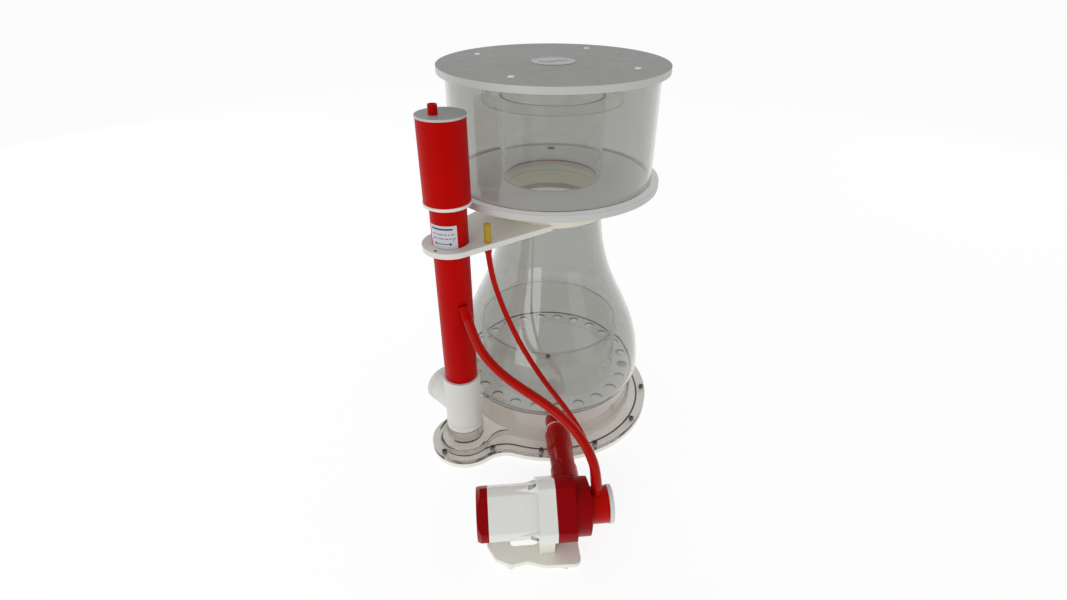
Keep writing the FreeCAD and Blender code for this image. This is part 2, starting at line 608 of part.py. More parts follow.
# --- collection cup and lid ----------------------------------------------------------------

def make_cup():
    floor = cylinder("cup_floor_disc", "cup_floor_radius", "cup_floor_thick", z="cup_floor_bottom")
    opening = cylinder("cup_floor_opening", "cup_hole", "cup_floor_thick", z="cup_floor_bottom")
    drain = around("drain_ring", "drain_angle")
    drain_hole = cylinder("cup_drain_hole", "drain_shank", "cup_floor_thick", *drain,
                          "cup_floor_bottom")
    seal = ("cup_neck_radius - cup_wall", "cup_hole", "neck_seal_height", *AXIS,
            "cup_floor_bottom + cup_floor_thick - neck_seal_drop")
    sub_part("cup_floor", cut("cup_floor_cut", floor, opening, drain_hole,
                              tube("cup_neck_seal_groove", *seal)))
    sub_part("cup_wall", tube("cup_wall_tube", "cup_radius", "cup_radius - cup_wall",
                              "lid_bottom - cup_floor_bottom - cup_floor_thick",
                              z="cup_floor_bottom + cup_floor_thick"))
    sub_part("cup_neck", tube("cup_neck_tube", "cup_neck_radius", "cup_neck_radius - cup_wall",
                              "cup_neck_height", z="cup_floor_bottom + cup_floor_thick"))
    sub_part("cup_neck_seal", tube("cup_neck_seal_ring", *seal))
    groove = "spigot_radius - spigot_groove"
    step = "cup_hole - spigot_step"
    spigot = [(step, "0"), ("spigot_radius", "0"),
              ("spigot_radius", "spigot_groove_start"), (groove, "spigot_groove_start"),
              (groove, "spigot_groove_end"), ("spigot_radius", "spigot_groove_end"),
              ("spigot_radius", "spigot_depth"), ("cup_hole", "spigot_depth"),
              ("cup_hole", "spigot_step_height"), (step, "spigot_step_height")]
    sub_part("cup_spigot", turned("cup_spigot_ring", spigot, *AXIS,
                                  "cup_floor_bottom - spigot_depth"))
    sub_part("spigot_seal", tube("spigot_seal_ring", "spigot_radius + 0.2", groove,
                                 "spigot_groove_end - spigot_groove_start",
                                 z="cup_floor_bottom - spigot_depth + spigot_groove_start"))
    make_drain(drain)


def make_drain(drain):
    """The drain elbow: a shank glued into the cup's floor and a hose stem that points outward."""
    bottom = "cup_floor_bottom + cup_floor_thick - drain_length"
    shank = cylinder("drain_shank_rod", "drain_shank", "drain_length", *drain, bottom)
    outward = Rotation(Vector(0, 0, 1), size("drain_angle")) * ALONG_X
    section = [("0", "0"), ("drain_neck", "0"), ("drain_neck", "drain_reach"),
               ("drain_radius", "drain_reach"), ("drain_radius", "drain_reach + drain_stem"),
               ("0", "drain_reach + drain_stem")]
    stem = turned("drain_stem_section", section, *drain, bottom + " + drain_axis", outward)
    down = cylinder("drain_bore_down", "drain_bore", "drain_length", *drain,
                    bottom + " + drain_axis")
    along = cylinder("drain_bore_out", "drain_bore", "drain_reach + drain_stem", *drain,
                     bottom + " + drain_axis", outward)
    elbow = fuse("drain_elbow_solid", [shank, stem])
    sub_part("drain_nipple", cut("drain_nipple_cut", elbow, down, along))


def make_lid():
    plate = cylinder("lid_disc", "lid_radius", "lid_thick", z="lid_bottom")
    places = [around("lid_screw_ring", "lid_screw_start + %d" % turn) for turn in range(0, 360, 90)]
    holes = [cylinder("lid_hole_%d" % index, "lid_hole_radius", "lid_thick", x, y, "lid_bottom")
             for index, (x, y) in enumerate(places)]
    sub_part("lid_plate", cut("lid_plate_cut", plate, *holes))
    sub_part("lid_ring", tube("lid_ring_tube", "lid_ring_radius", "lid_ring_radius - lid_ring_wall",
                              "lid_ring_height", z="lid_bottom - lid_ring_height"))
    screws = []
    for index, (x, y) in enumerate(places):
        section = [("0", "0"), ("2", "0"), ("2", "lid_thick"), ("4.6", "lid_thick"),
                   ("3.8", "lid_thick + lid_head_height"), ("0", "lid_thick + lid_head_height")]
        screws.append(turned("lid_screw_%d" % index, section, x, y, "lid_bottom"))
    sub_part("lid_screws", group("lid_screws_group", screws))
    sub_part("lid_badge", cylinder("lid_badge_disc", "badge_radius", "badge_thick",
                                   z="lid_bottom + lid_thick"))


# --- pump ----------------------------------------------------------------------------------

PUMP_Y = "axis_y + pump_y"


def pump_x(text):
    return "axis_x + " + text


MOTOR_FRONT = "motor_rear + cap_length + motor_length"
RED_START = MOTOR_FRONT + " + white_flange"
VOLUTE_START = RED_START + " + red_flange"
SUCTION_START = VOLUTE_START + " + volute_length + shoulder_length"


def pump_cylinder(name, radius, length, start):
    return cylinder(name, radius, length, pump_x(start), PUMP_Y, "pump_z", ALONG_X)


def pump_tube(name, outer, inner, length, start):
    return tube(name, outer, inner, length, pump_x(start), PUMP_Y, "pump_z", ALONG_X)


def square_bar(name, width, rounding, length, start):
    """A bar along the pump's axis: a square stood on its corner, with its corners rounded."""
    bar = box(name + "_square", length, width, width, pump_x(start), PUMP_Y,
              "pump_z - %s * 0.70711" % width, Rotation(Vector(1, 0, 0), 45))
    return common(name, bar, pump_cylinder(name + "_round", rounding, length, start))


def screw_boss(name, turn):
    """A hump that runs from one of the motor's corners out to its screw in the flange."""
    return cone(name, "boss_tail", "boss_radius", "boss_length",
                pump_x(MOTOR_FRONT + " - boss_length"),
                "%s + boss_ring * cos(%d)" % (PUMP_Y, turn),
                "pump_z + boss_ring * sin(%d)" % turn, ALONG_X)


def gland_place(radius):
    """The cable gland's start, that far from the pump's axis on the motor's lower back face."""
    return (pump_x("motor_rear + gland_x"), "%s + %s * 0.70711" % (PUMP_Y, radius),
            "pump_z - %s * 0.70711" % radius, Rotation(Vector(1, 0, 0), -135))


def make_motor():
    body = square_bar("motor_bar", "motor_width", "motor_round", "motor_length",
                      "motor_rear + cap_length")
    flange = square_bar("motor_flange", "flange_width", "flange_round", "white_flange",
                        MOTOR_FRONT)
    bosses = [screw_boss("motor_boss_%d" % turn, turn) for turn in PUMP_SCREW_TURNS]
    solid = fuse("motor_solid", [body, flange] + bosses)
    hollow = pump_cylinder("motor_hollow", "motor_bore", "motor_length + white_flange",
                           "motor_rear + cap_length")
    gland_hole = cylinder("gland_hole", "5", "gland_length", *gland_place("28"))
    screw_holes = pump_screw_holes("housing", "screw_radius", MOTOR_FRONT, "white_flange")
    head_rooms = pump_screw_holes("head_room", "head_room_radius", MOTOR_FRONT + " - head_room",
                                  "head_room")
    sub_part("motor_housing", cut("motor_housing_cut", solid, hollow, gland_hole, *screw_holes,
                                  *head_rooms))
    gland = tube("cable_gland_barrel", "gland_radius", "gland_bore", "gland_length",
                 *gland_place("motor_width / 2 * 1.0004"))
    sub_part("cable_gland", gland)
    end = square_bar("end_cap_bar", "motor_width", "motor_round", "cap_length - cap_bevel",
                     "motor_rear + cap_bevel")
    bevel = cone("end_cap_bevel", "motor_round - cap_bevel", "motor_round + 0.5", "cap_bevel",
                 pump_x("motor_rear"), PUMP_Y, "pump_z", ALONG_X)
    trim = square_bar("end_cap_trim", "motor_width", "motor_round", "cap_bevel", "motor_rear")
    nose = common("end_cap_nose", trim, bevel)
    sub_part("motor_end_cap", fuse("motor_end_cap_solid", [end, nose]))
    sub_part("stator", pump_tube("stator_ring", "motor_bore", "stator_bore",
                                 "stator_length", "motor_rear + cap_length + stator_start"))
    can_back = pump_cylinder("can_back", "can_radius", "can_floor",
                             "motor_rear + cap_length + can_start")
    can_wall = pump_tube("can_wall", "can_radius", "can_bore", "can_length",
                         "motor_rear + cap_length + can_start + can_floor")
    can_rim = pump_tube("can_rim", "motor_bore", "can_bore", "can_floor",
                        MOTOR_FRONT + " + white_flange - can_floor")
    sub_part("rotor_can", fuse("rotor_can_solid", [can_back, can_wall, can_rim]))
    bearings = [pump_tube("bearing_%d" % index, "can_bore", "shaft_radius + shaft_fit",
                          "bearing_length", start)
                for index, start in enumerate(("motor_rear + cap_length + can_start + can_floor",
                                               MOTOR_FRONT + " + white_flange - 8"))]
    sub_part("rotor_bearings", group("rotor_bearings_group", bearings))


PUMP_SCREW_TURNS = range(0, 360, 90)


def pump_screw_places():
    """The four flange corners: front, top, back and bottom of the pump."""
    return [("%s + pump_screw_ring * cos(%d)" % (PUMP_Y, turn),
             "pump_z + pump_screw_ring * sin(%d)" % turn) for turn in PUMP_SCREW_TURNS]


def pump_screw_holes(name, radius, start, length):
    return [cylinder("%s_hole_%d" % (name, index), radius, length, pump_x(start), y, z, ALONG_X)
            for index, (y, z) in enumerate(pump_screw_places())]


def make_pump_screws():
    screws = []
    for index, (y, z) in enumerate(pump_screw_places()):
        head = cylinder("pump_screw_%d_head" % index, "pump_head_radius", "pump_head_height",
                        pump_x(MOTOR_FRONT + " - pump_head_height"), y, z, ALONG_X)
        shank = cylinder("pump_screw_%d_shank" % index, "screw_radius - 0.1",
                         "white_flange + pump_screw_grip", pump_x(MOTOR_FRONT), y, z, ALONG_X)
        screws.append(fuse("pump_screw_%d" % index, [head, shank]))
    sub_part("pump_screws", group("pump_screws_group", screws))


def make_volute():
    flange = square_bar("volute_flange", "flange_width", "flange_round", "red_flange", RED_START)
    case = pump_cylinder("volute_case", "volute_radius", "volute_length", VOLUTE_START)
    shoulder = cone("volute_shoulder", "volute_radius", "suction_radius + 2", "shoulder_length",
                    pump_x(VOLUTE_START + " + volute_length"), PUMP_Y, "pump_z", ALONG_X)
    outlet_x = "axis_x + inlet_offset"
    spout = cylinder("volute_spout", "outlet_radius", "outlet_end - pump_y", outlet_x, PUMP_Y,
                     "inlet_height", ALONG_Y)
    solid = fuse("volute_solid", [flange, case, shoulder, spout])
    room = pump_cylinder("volute_room", "volute_room_radius",
                         "red_flange + volute_length - volute_front", RED_START)
    eye = pump_cylinder("volute_eye", "suction_radius - suction_wall",
                        "volute_front + shoulder_length",
                        VOLUTE_START + " + volute_length - volute_front")
    bore = cylinder("spout_bore", "outlet_bore", "outlet_end - pump_y", outlet_x, PUMP_Y,
                    "inlet_height", ALONG_Y)
    sub_part("volute", cut("volute_cut", solid, room, eye, bore,
                           *pump_screw_holes("volute", "screw_radius", RED_START, "pump_screw_grip")))
    sub_part("suction_tube", pump_tube("suction_pipe", "suction_radius",
                                       "suction_radius - suction_wall", "suction_length",
                                       SUCTION_START))
    sub_part("suction_ring", pump_tube("suction_ring_tube", "suction_radius + 1",
                                       "suction_radius - suction_wall", "ring_length",
                                       SUCTION_START + " + suction_length"))
    section = [("outlet_radius", "0"), ("sleeve_radius", "0"), ("sleeve_radius", "27"),
               ("sleeve_waist", "36"), ("sleeve_waist", "60"), ("sleeve_radius", "70"),
               ("sleeve_radius", "103"), ("sleeve_radius - 1.5", "106"), ("outlet_radius", "106")]
    sub_part("pressure_sleeve", turned("sleeve_section", section, outlet_x,
                                       "axis_y + sleeve_start", "inlet_height", ALONG_Y))
    stub = tube("inlet_pipe", "inlet_radius", "inlet_radius - inlet_wall", "inlet_length",
                outlet_x, "axis_y + inlet_start", "inlet_height", ALONG_Y)
    sub_part("inlet_stub", stub)


WHEEL_PIN_RINGS = ((13, 8), (21, 14), (29, 20))


def make_rotor():
    magnet = pump_tube("magnet_ring", "rotor_radius", "shaft_radius", "rotor_length",
                       "motor_rear + cap_length + rotor_start")
    sub_part("rotor_magnet", magnet)
    sub_part("rotor_shaft", pump_cylinder("shaft_rod", "shaft_radius", "shaft_length",
                                          "motor_rear + cap_length + can_start + 3.5"))
    disc = pump_cylinder("wheel_plate", "wheel_radius", "wheel_disc", RED_START + " + 4")
    hub = pump_cylinder("wheel_hub", "hub_radius", "hub_length", RED_START + " + 1")
    pins = []
    for ring, count in WHEEL_PIN_RINGS:
        for index in range(count):
            turn = 360 * index / count
            pins.append(cylinder("wheel_pin_%d_%d" % (ring, index), "pin_radius", "pin_length",
                                 pump_x(RED_START + " + 4 + wheel_disc"),
                                 "%s + %d * cos(%.3f)" % (PUMP_Y, ring, turn),
                                 "pump_z + %d * sin(%.3f)" % (ring, turn), ALONG_X))
    wheel = fuse("wheel_solid", [disc, hub] + pins)
    shaft_bore = pump_cylinder("wheel_bore", "shaft_radius", "30", RED_START)
    sub_part("needle_wheel", cut("needle_wheel_cut", wheel, shaft_bore))


FOOT_PLATE_CORNERS = (("-124", "-8"), ("-113", "-30"), ("-92", "-41"), ("-70", "-37.5"),
                      ("-46", "-46"), ("4", "-48.5"), ("4", "48.5"), ("-46", "46"),
                      ("-70", "37.5"), ("-92", "41"), ("-113", "30"), ("-124", "8"))
FOOT_SLOT_CORNERS = (("-91", "-12"), ("-53", "-12"), ("-53", "12"), ("-91", "12"))
PUMP_PAD_PLACES = (("-92", "- 33.5"), ("-92", "+ 33.5"), ("-17", "- 41"), ("-17", "+ 41"))


def rounded_plate(name, corners, thickness, rounding):
    """A flat plate from its corners, with every upright edge rounded."""
    body = doc.addObject("PartDesign::Body", name)
    sketch = new_sketch(body, name + "_outline")
    points = [Vector(number(across), number(along), 0) for across, along in corners]
    for index, point in enumerate(points):
        sketch.addGeometry(Part.LineSegment(point, points[(index + 1) % len(points)]), False)
    for index, (across, along) in enumerate(corners):
        before = (index - 1) % len(corners)
        sketch.addConstraint(Sketcher.Constraint("Coincident", before, 2, index, 1))
        bound_constraint(sketch, across, "DistanceX", -1, 1, index, 1)
        bound_constraint(sketch, along, "DistanceY", -1, 1, index, 1)
    pad = body.newObject("PartDesign::Pad", name + "_pad")
    pad.Profile = sketch
    bind(pad, Length=thickness)
    doc.recompute()
    upright = ["Edge%d" % number_on for number_on, edge in enumerate(pad.Shape.Edges, start=1)
               if abs(edge.tangentAt(edge.FirstParameter).z) > 0.99]
    rounded = body.newObject("PartDesign::Fillet", name + "_rounding")
    rounded.Base = (pad, upright)
    bind(rounded, Radius=rounding)
    return body


def make_pump_stand():
    """A foot plate under the flange and the motor, on four clear pads, with a saddle between."""
    plate = place(rounded_plate("foot_plate", FOOT_PLATE_CORNERS, "foot_plate_thick",
                                "foot_plate_round"), "axis_x", PUMP_Y, "foot_height")
    slot = place(rounded_plate("foot_slot", FOOT_SLOT_CORNERS, "foot_plate_thick",
                               "foot_slot_round"), "axis_x", PUMP_Y, "foot_height")
    sub_part("pump_foot", cut("pump_foot_cut", plate, slot))
    pads = [cone("pump_pad_%d" % index, "foot_radius - 1.5", "foot_radius", "foot_height",
                 pump_x(x), "%s %s" % (PUMP_Y, y))
            for index, (x, y) in enumerate(PUMP_PAD_PLACES)]
    sub_part("pump_pads", group("pump_pads_group", pads))
    plate_top = "foot_height + foot_plate_thick"
    block = box("saddle_block", "22", "56", "36", pump_x("-52"), PUMP_Y + " - 28", plate_top)
    motor_space = square_bar("saddle_motor_space", "motor_width", "motor_round",
                             "motor_length", "motor_rear + cap_length")
    flange_space = square_bar("saddle_flange_space", "flange_width", "flange_round",
                              "white_flange", MOTOR_FRONT)
    boss_space = screw_boss("saddle_boss_space", 270)
    sub_part("motor_saddle", cut("motor_saddle_cut", block, motor_space, flange_space,
                                 boss_space))


# --- hoses ---------------------------------------------------------------------------------

AIR_HOSE_ROUTE = [
    (-120.3, -61.45, 276.8), (-112, -77.25, 252.5), (-97, -95.75, 232), (-75, -116.75, 218),
    (-50, -137.75, 209), (-25, -157.75, 202), (-1, -177.75, 192), (18, -195.75, 178),
    (33, -212.75, 158), (41.5, -224.25, 132), (43.4, -228.2, 104)]
DOSE_HOSE_ROUTE = [
    (-87.1, -34.9, 369), (-85, -35.75, 343), (-78.5, -40.25, 313), (-69, -48.25, 284),
    (-57, -60.25, 256), (-43, -74.75, 230), (-28, -90.25, 208), (-12, -106.25, 188),
    (4, -122.25, 171.5), (18, -138.25, 157), (29.5, -153.75, 143.5), (37.5, -168.25, 130.5),
    (42, -181.75, 118), (43.4, -193.25, 106), (43.4, -202.7, 96.5)]
BEND_SHARE = 0.45
END_GAP = 0.2


def make_suction_nipples():
    """Two stems on the suction pipe: the air hose's on top, the dosing hose's towards the body."""
    end = Vector(*AIR_HOSE_ROUTE[-1])
    place_x = str(end.x)
    stem = cylinder("air_stem", "air_hose_radius + 0.4", "%s - pump_z" % (end.z - END_GAP),
                    place_x, PUMP_Y, "pump_z")
    lean = Rotation(Vector(1, 0, 0), -45)
    reach = math.hypot(DOSE_HOSE_ROUTE[-1][1] - number(PUMP_Y),
                       DOSE_HOSE_ROUTE[-1][2] - size("pump_z")) - END_GAP
    small = cylinder("dose_stem", "dose_hose_radius + 0.4", "%.2f" % reach, place_x, PUMP_Y,
                     "pump_z", lean)
    pipe = pump_cylinder("nipple_pipe_space", "suction_radius", "suction_length", SUCTION_START)
    stems = [cut("air_stem_cut", stem, pipe), cut("dose_stem_cut", small, pipe)]
    sub_part("suction_nipples", group("suction_nipples_group", stems))


def hose(label, route, radius):
    """A hose: straight runs joined by tangent arcs, swept with a round section."""
    points = [Vector(*point) for point in route]
    edges = []
    start = points[0]
    for before, corner, after in zip(points, points[1:], points[2:]):
        back = (before - corner).normalize()
        on = (after - corner).normalize()
        half_turn = (math.pi - back.getAngle(on)) / 2
        reach = BEND_SHARE * min((before - corner).Length, (after - corner).Length)
        bend = reach / math.tan(half_turn)
        arc_start = corner + back * reach
        arc_end = corner + on * reach
        middle = corner + (back + on).normalize() * (bend / math.cos(half_turn) - bend)
        edges.append(Part.LineSegment(start, arc_start).toShape())
        edges.append(Part.Arc(arc_start, middle, arc_end).toShape())
        start = arc_end
        print("%s bend radius %.0f mm, %.1f diameters" % (label, bend, bend / (2 * radius)))
    edges.append(Part.LineSegment(start, points[-1]).toShape())
    path = Part.Wire(edges)
    ring = Part.Circle(points[0], points[1] - points[0], radius).toShape()
    item = doc.addObject("Part::Feature", label + "_sweep")
    item.Shape = path.makePipeShell([Part.Wire([ring])], True, True)
    plain = math.pi * radius ** 2 * path.Length
    print("%s length %.1f mm, volume %.4f of section times length"
          % (label, path.Length, item.Shape.Volume / plain))
    sub_part(label, place(item))


def make_hoses():
    make_suction_nipples()
    hose("air_hose", AIR_HOSE_ROUTE, size("air_hose_radius"))
    hose("dosing_hose", DOSE_HOSE_ROUTE, size("dose_hose_radius"))


def build_all():
    make_base()
    make_lower_chamber()
    make_base_screws()
    make_bubble_plate()
    make_body_inside()
    make_reaction_body()
    make_neck()
    make_outlet()
    make_riser()
    make_silencer()
    make_cup()
    make_lid()
    make_motor()
    make_pump_screws()
    make_volute()
    make_rotor()
    make_pump_stand()
    make_hoses()


def check_and_export():
    doc.recompute()
    for item in doc.Objects:
        if "Invalid" in item.State or "Error" in item.State:
            raise RuntimeError("%s failed: %s" % (item.Name, item.State))
    for label, item in sub_parts.items():
        if item.Shape.isNull() or not item.Shape.isValid() or not item.Shape.Solids:
            raise RuntimeError("%s has no sound shape" % label)
    os.makedirs("parts", exist_ok=True)
    for label, item in sub_parts.items():
        item.Shape.exportStep("parts/%s.step" % label)
        print("%-16s %2d solid(s) %12.1f mm3" % (label, len(item.Shape.Solids), item.Shape.Volume))


build_all()
check_and_export()
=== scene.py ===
"""Protein skimmer: the looks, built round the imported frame. Metres, the frame's own axes."""

import json
import math

import bmesh
import bpy
from mathutils import Matrix, Vector

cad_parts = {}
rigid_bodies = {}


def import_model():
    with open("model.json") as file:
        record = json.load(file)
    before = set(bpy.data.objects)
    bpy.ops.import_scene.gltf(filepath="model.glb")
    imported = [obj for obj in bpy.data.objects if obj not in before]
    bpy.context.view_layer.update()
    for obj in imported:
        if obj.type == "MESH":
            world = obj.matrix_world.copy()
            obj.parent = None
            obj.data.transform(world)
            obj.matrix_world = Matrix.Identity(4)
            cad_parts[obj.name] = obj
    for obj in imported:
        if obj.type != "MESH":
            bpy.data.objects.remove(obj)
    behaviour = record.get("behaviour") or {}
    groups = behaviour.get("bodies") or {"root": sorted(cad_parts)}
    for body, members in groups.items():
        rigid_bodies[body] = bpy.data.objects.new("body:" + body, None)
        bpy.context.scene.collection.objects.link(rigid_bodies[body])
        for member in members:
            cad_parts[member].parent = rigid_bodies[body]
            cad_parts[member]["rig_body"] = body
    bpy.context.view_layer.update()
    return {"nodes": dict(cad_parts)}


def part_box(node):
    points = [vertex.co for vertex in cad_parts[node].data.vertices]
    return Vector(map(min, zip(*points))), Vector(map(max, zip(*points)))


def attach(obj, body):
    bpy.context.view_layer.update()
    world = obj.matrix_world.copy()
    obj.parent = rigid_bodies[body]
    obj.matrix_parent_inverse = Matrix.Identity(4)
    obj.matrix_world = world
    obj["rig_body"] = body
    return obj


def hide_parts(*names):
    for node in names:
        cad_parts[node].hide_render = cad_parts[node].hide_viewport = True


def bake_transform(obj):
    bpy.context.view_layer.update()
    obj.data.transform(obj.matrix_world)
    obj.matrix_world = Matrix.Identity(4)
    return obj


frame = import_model()
scene = bpy.context.scene

# Camera: where the photograph was taken from, solved in the frame.
CAMERA_PLACE = (-0.0941, -0.7541, 0.7364)
CAMERA_HEADING = math.radians(84.48)
CAMERA_TILT = math.radians(31.81)
CAMERA_ROLL = math.radians(0.08)
CAMERA_LENS = 19.70
SENSOR_WIDTH = 36.0

# Hose routes: the CAD routes' points, in metres.
AIR_ROUTE = [
    (-0.1203, -0.06145, 0.2768),
    (-0.1120, -0.07725, 0.2525),
    (-0.0970, -0.09575, 0.2320),
    (-0.0750, -0.11675, 0.2180),
    (-0.0500, -0.13775, 0.2090),
    (-0.0250, -0.15775, 0.2020),
    (-0.0010, -0.17775, 0.1920),
    (0.0180, -0.19575, 0.1780),
    (0.0330, -0.21275, 0.1580),
    (0.0415, -0.22425, 0.1320),
    (0.0434, -0.22820, 0.1040),
]
AIR_DIAMETER = 0.0135
DOSE_ROUTE = [
    (-0.0871, -0.03490, 0.3690),
    (-0.0850, -0.03575, 0.3430),
    (-0.0785, -0.04025, 0.3130),
    (-0.0690, -0.04825, 0.2840),
    (-0.0570, -0.06025, 0.2560),
    (-0.0430, -0.07475, 0.2300),
    (-0.0280, -0.09025, 0.2080),
    (-0.0120, -0.10625, 0.1880),
    (0.0040, -0.12225, 0.1715),
    (0.0180, -0.13825, 0.1570),
    (0.0295, -0.15375, 0.1435),
    (0.0375, -0.16825, 0.1305),
    (0.0420, -0.18175, 0.1180),
    (0.0434, -0.19325, 0.1060),
    (0.0434, -0.20270, 0.0965),
]
DOSE_DIAMETER = 0.0080

# Hose curves: steps between two route points and round a quarter, and the swell at both ends.
CURVE_STEPS = 12
CURVE_ROUND_STEPS = 8
CURVE_ORDER = 3
END_SWELL = 1.05

# Noise: the band of its values that is used, and the narrower one for blends of colour.
FIELD_LOW, FIELD_HIGH = 0.3, 0.7
TONE_LOW, TONE_HIGH = 0.32, 0.68
# Height of a face's normal where the mask of level faces starts and where it is full.
LEVEL_START, LEVEL_FULL = 0.80, 0.95

# Plastic: colour drift, handling marks, grain and coat.
DRIFT_SCALE = 9.0
DRIFT_SHADE = 0.93
MARK_SCALE, MARK_DETAIL = 60.0, 6.0
GRAIN_DETAIL = 4.0
GRAIN_DEPTH = 0.0002
COAT_ROUGHNESS = 0.08
# The tint of the light that red pieces throw back, so that their shine stays red.
RED_GLINT = (1.0, 0.22, 0.16)
# How far red, green and blue light travel inside silicone, in metres.
GLOW_REACH = (0.006, 0.0012, 0.0008)

# Metal: stains in colour and a fine grain.
STAIN_SCALE = 40.0
STAIN_SHADE = 0.8
METAL_SCALE, METAL_DETAIL = 400.0, 6.0
METAL_SMOOTHER, METAL_ROUGHER = 0.08, 0.12
METAL_BUMP, METAL_DEPTH = 0.2, 0.0001

# Clear plastic: wear in gloss, slow waves, the roughness of saw cuts, and lamp light let through.
WEAR_SCALE, WEAR_DETAIL = 35.0, 8.0
WEAR_LEAST, WEAR_MOST = 0.4, 1.6
WAVE_SCALE, WAVE_DETAIL = 18.0, 2.0
WAVE_DEPTH = 0.004
SAWN_ROUGHNESS = 0.5
LAMP_SHARE = 0.98

# Finished copies: corners closer than WELD are joined, faces flatter than FLAT_ANGLE are made
# one, and edges sharper than SHARP_ANGLE are rounded.
WELD = 2e-6
FLAT_ANGLE = math.radians(0.2)
SHARP_ANGLE = math.radians(35.0)
EDGE_STEPS = 2
FLAT_FACE_WEIGHT = 60
# How far see-through pieces stand back from their CAD faces, so that touching faces part.
AIR_GAP = 0.00006

# Print on the riser's label: angles in degrees round the riser, sizes in metres.
INK_THICK = 0.00004
PRINT_RADIUS = 0.02542
PRINT_STEP = 3
HEADING_FROM, HEADING_TO = 212, 282
HEADING_LOW, HEADING_HIGH = 0.0058, 0.0034
ROW_DEPTHS = (0.0125, 0.0185)
ROW_FROM, ROW_SHIFT = 214, 3
DASH_WIDTHS = (12, 5, 15, 9, 6, 10)
DASH_GAP = 3
DASH_HEIGHT = 0.0011
ARROW_HEIGHT = 0.0075
ARROW_FROM, ARROW_TO = 226, 272
ARROW_HALF = 0.0005
ARROW_HEADS = ((219, 227), (279, 271))
ARROW_HEAD_HALF = 0.0024
MARK_PLACES = (216, 282)
MARK_HALF = 2.5
MARK_LOW, MARK_HIGH = 0.0042, 0.0050

# Badge on the lid: a flat ring and two waves, in metres.
RING_STEPS = 96
RING_INNER, RING_OUTER = 0.0272, 0.0290
RING_SUNK, RING_RAISED = 0.0002, 0.0002
WAVE_STEPS = 28
WAVE_LENGTH = 0.040
WAVE_SWING = 0.0045
WAVE_SUNK = 0.0001

# Floor and light. Each lamp has its place, its size and its power.
FLOOR_HALF = 60.0
FLOOR_SHADE = 0.22
FLOOR_GLOW = 0.82
SKY_COLOR = (0.97, 0.98, 1.0)
SKY_STRENGTH = 0.62
LAMP_AIM = (0.0, 0.0, 0.30)
LAMPS = {
    "key": ((-1.5, -2.1, 0.95), (1.3, 1.8), 17),
    "fill": ((1.7, -1.9, 0.95), (1.2, 1.7), 3.5),
    "back_left": ((-1.9, 1.5, 1.1), (0.8, 1.4), 10),
    "back_right": ((2.0, 1.3, 1.1), (0.8, 1.4), 2.5),
}


# ---------------------------------------------------------------- materials
def shader(name):
    """A new material, its node tree and its Principled node."""
    made = bpy.data.materials.new(name)
    made.use_nodes = True
    tree = made.node_tree
    return made, tree, tree.nodes["Principled BSDF"]


def noise(tree, scale, detail=3.0, stretch=None):
    """Noise over the piece's own coordinates, stretched along an axis if asked."""
    place = tree.nodes.new("ShaderNodeTexCoord")
    mapping = tree.nodes.new("ShaderNodeMapping")
    if stretch is not None:
        mapping.inputs["Scale"].default_value = stretch
    tree.links.new(place.outputs["Object"], mapping.inputs["Vector"])
    field = tree.nodes.new("ShaderNodeTexNoise")
    field.inputs["Scale"].default_value = scale
    field.inputs["Detail"].default_value = detail
    tree.links.new(mapping.outputs["Vector"], field.inputs["Vector"])
    return field.outputs["Fac"]


def spread(tree, field, low, high):
    """The field mapped to a range of numbers."""
    ranged = tree.nodes.new("ShaderNodeMapRange")
    ranged.inputs["From Min"].default_value = FIELD_LOW
    ranged.inputs["From Max"].default_value = FIELD_HIGH
    ranged.inputs["To Min"].default_value = low
    ranged.inputs["To Max"].default_value = high
    tree.links.new(field, ranged.inputs["Value"])
    return ranged.outputs["Result"]


def two_tone(tree, field, dark, light):
    """The field as a blend of two colours."""
    ramp = tree.nodes.new("ShaderNodeValToRGB")
    ramp.color_ramp.elements[0].position = TONE_LOW
    ramp.color_ramp.elements[0].color = (*dark, 1)
    ramp.color_ramp.elements[1].position = TONE_HIGH
    ramp.color_ramp.elements[1].color = (*light, 1)
    tree.links.new(field, ramp.inputs["Fac"])
    return ramp.outputs["Color"]


def bumped(tree, surface, field, strength, distance):
    """A bump on the surface from the field."""
    bump = tree.nodes.new("ShaderNodeBump")
    bump.inputs["Strength"].default_value = strength
    bump.inputs["Distance"].default_value = distance
    tree.links.new(field, bump.inputs["Height"])
    tree.links.new(bump.outputs["Normal"], surface.inputs["Normal"])


def tinted(color, factor):
    """The colour, darker or lighter by a factor."""
    return tuple(channel * factor for channel in color)


def level_mask(tree, low, high):
    """A number that goes from low on upright faces to high on level ones."""
    geometry = tree.nodes.new("ShaderNodeNewGeometry")
    parts = tree.nodes.new("ShaderNodeSeparateXYZ")
    tree.links.new(geometry.outputs["Normal"], parts.inputs["Vector"])
    upright = tree.nodes.new("ShaderNodeMath")
    upright.operation = "ABSOLUTE"
    tree.links.new(parts.outputs["Z"], upright.inputs[0])
    level = tree.nodes.new("ShaderNodeMapRange")
    level.inputs["From Min"].default_value = LEVEL_START
    level.inputs["From Max"].default_value = LEVEL_FULL
    level.inputs["To Min"].default_value = low
    level.inputs["To Max"].default_value = high
    tree.links.new(upright.outputs[0], level.inputs["Value"])
    return level.outputs["Result"]


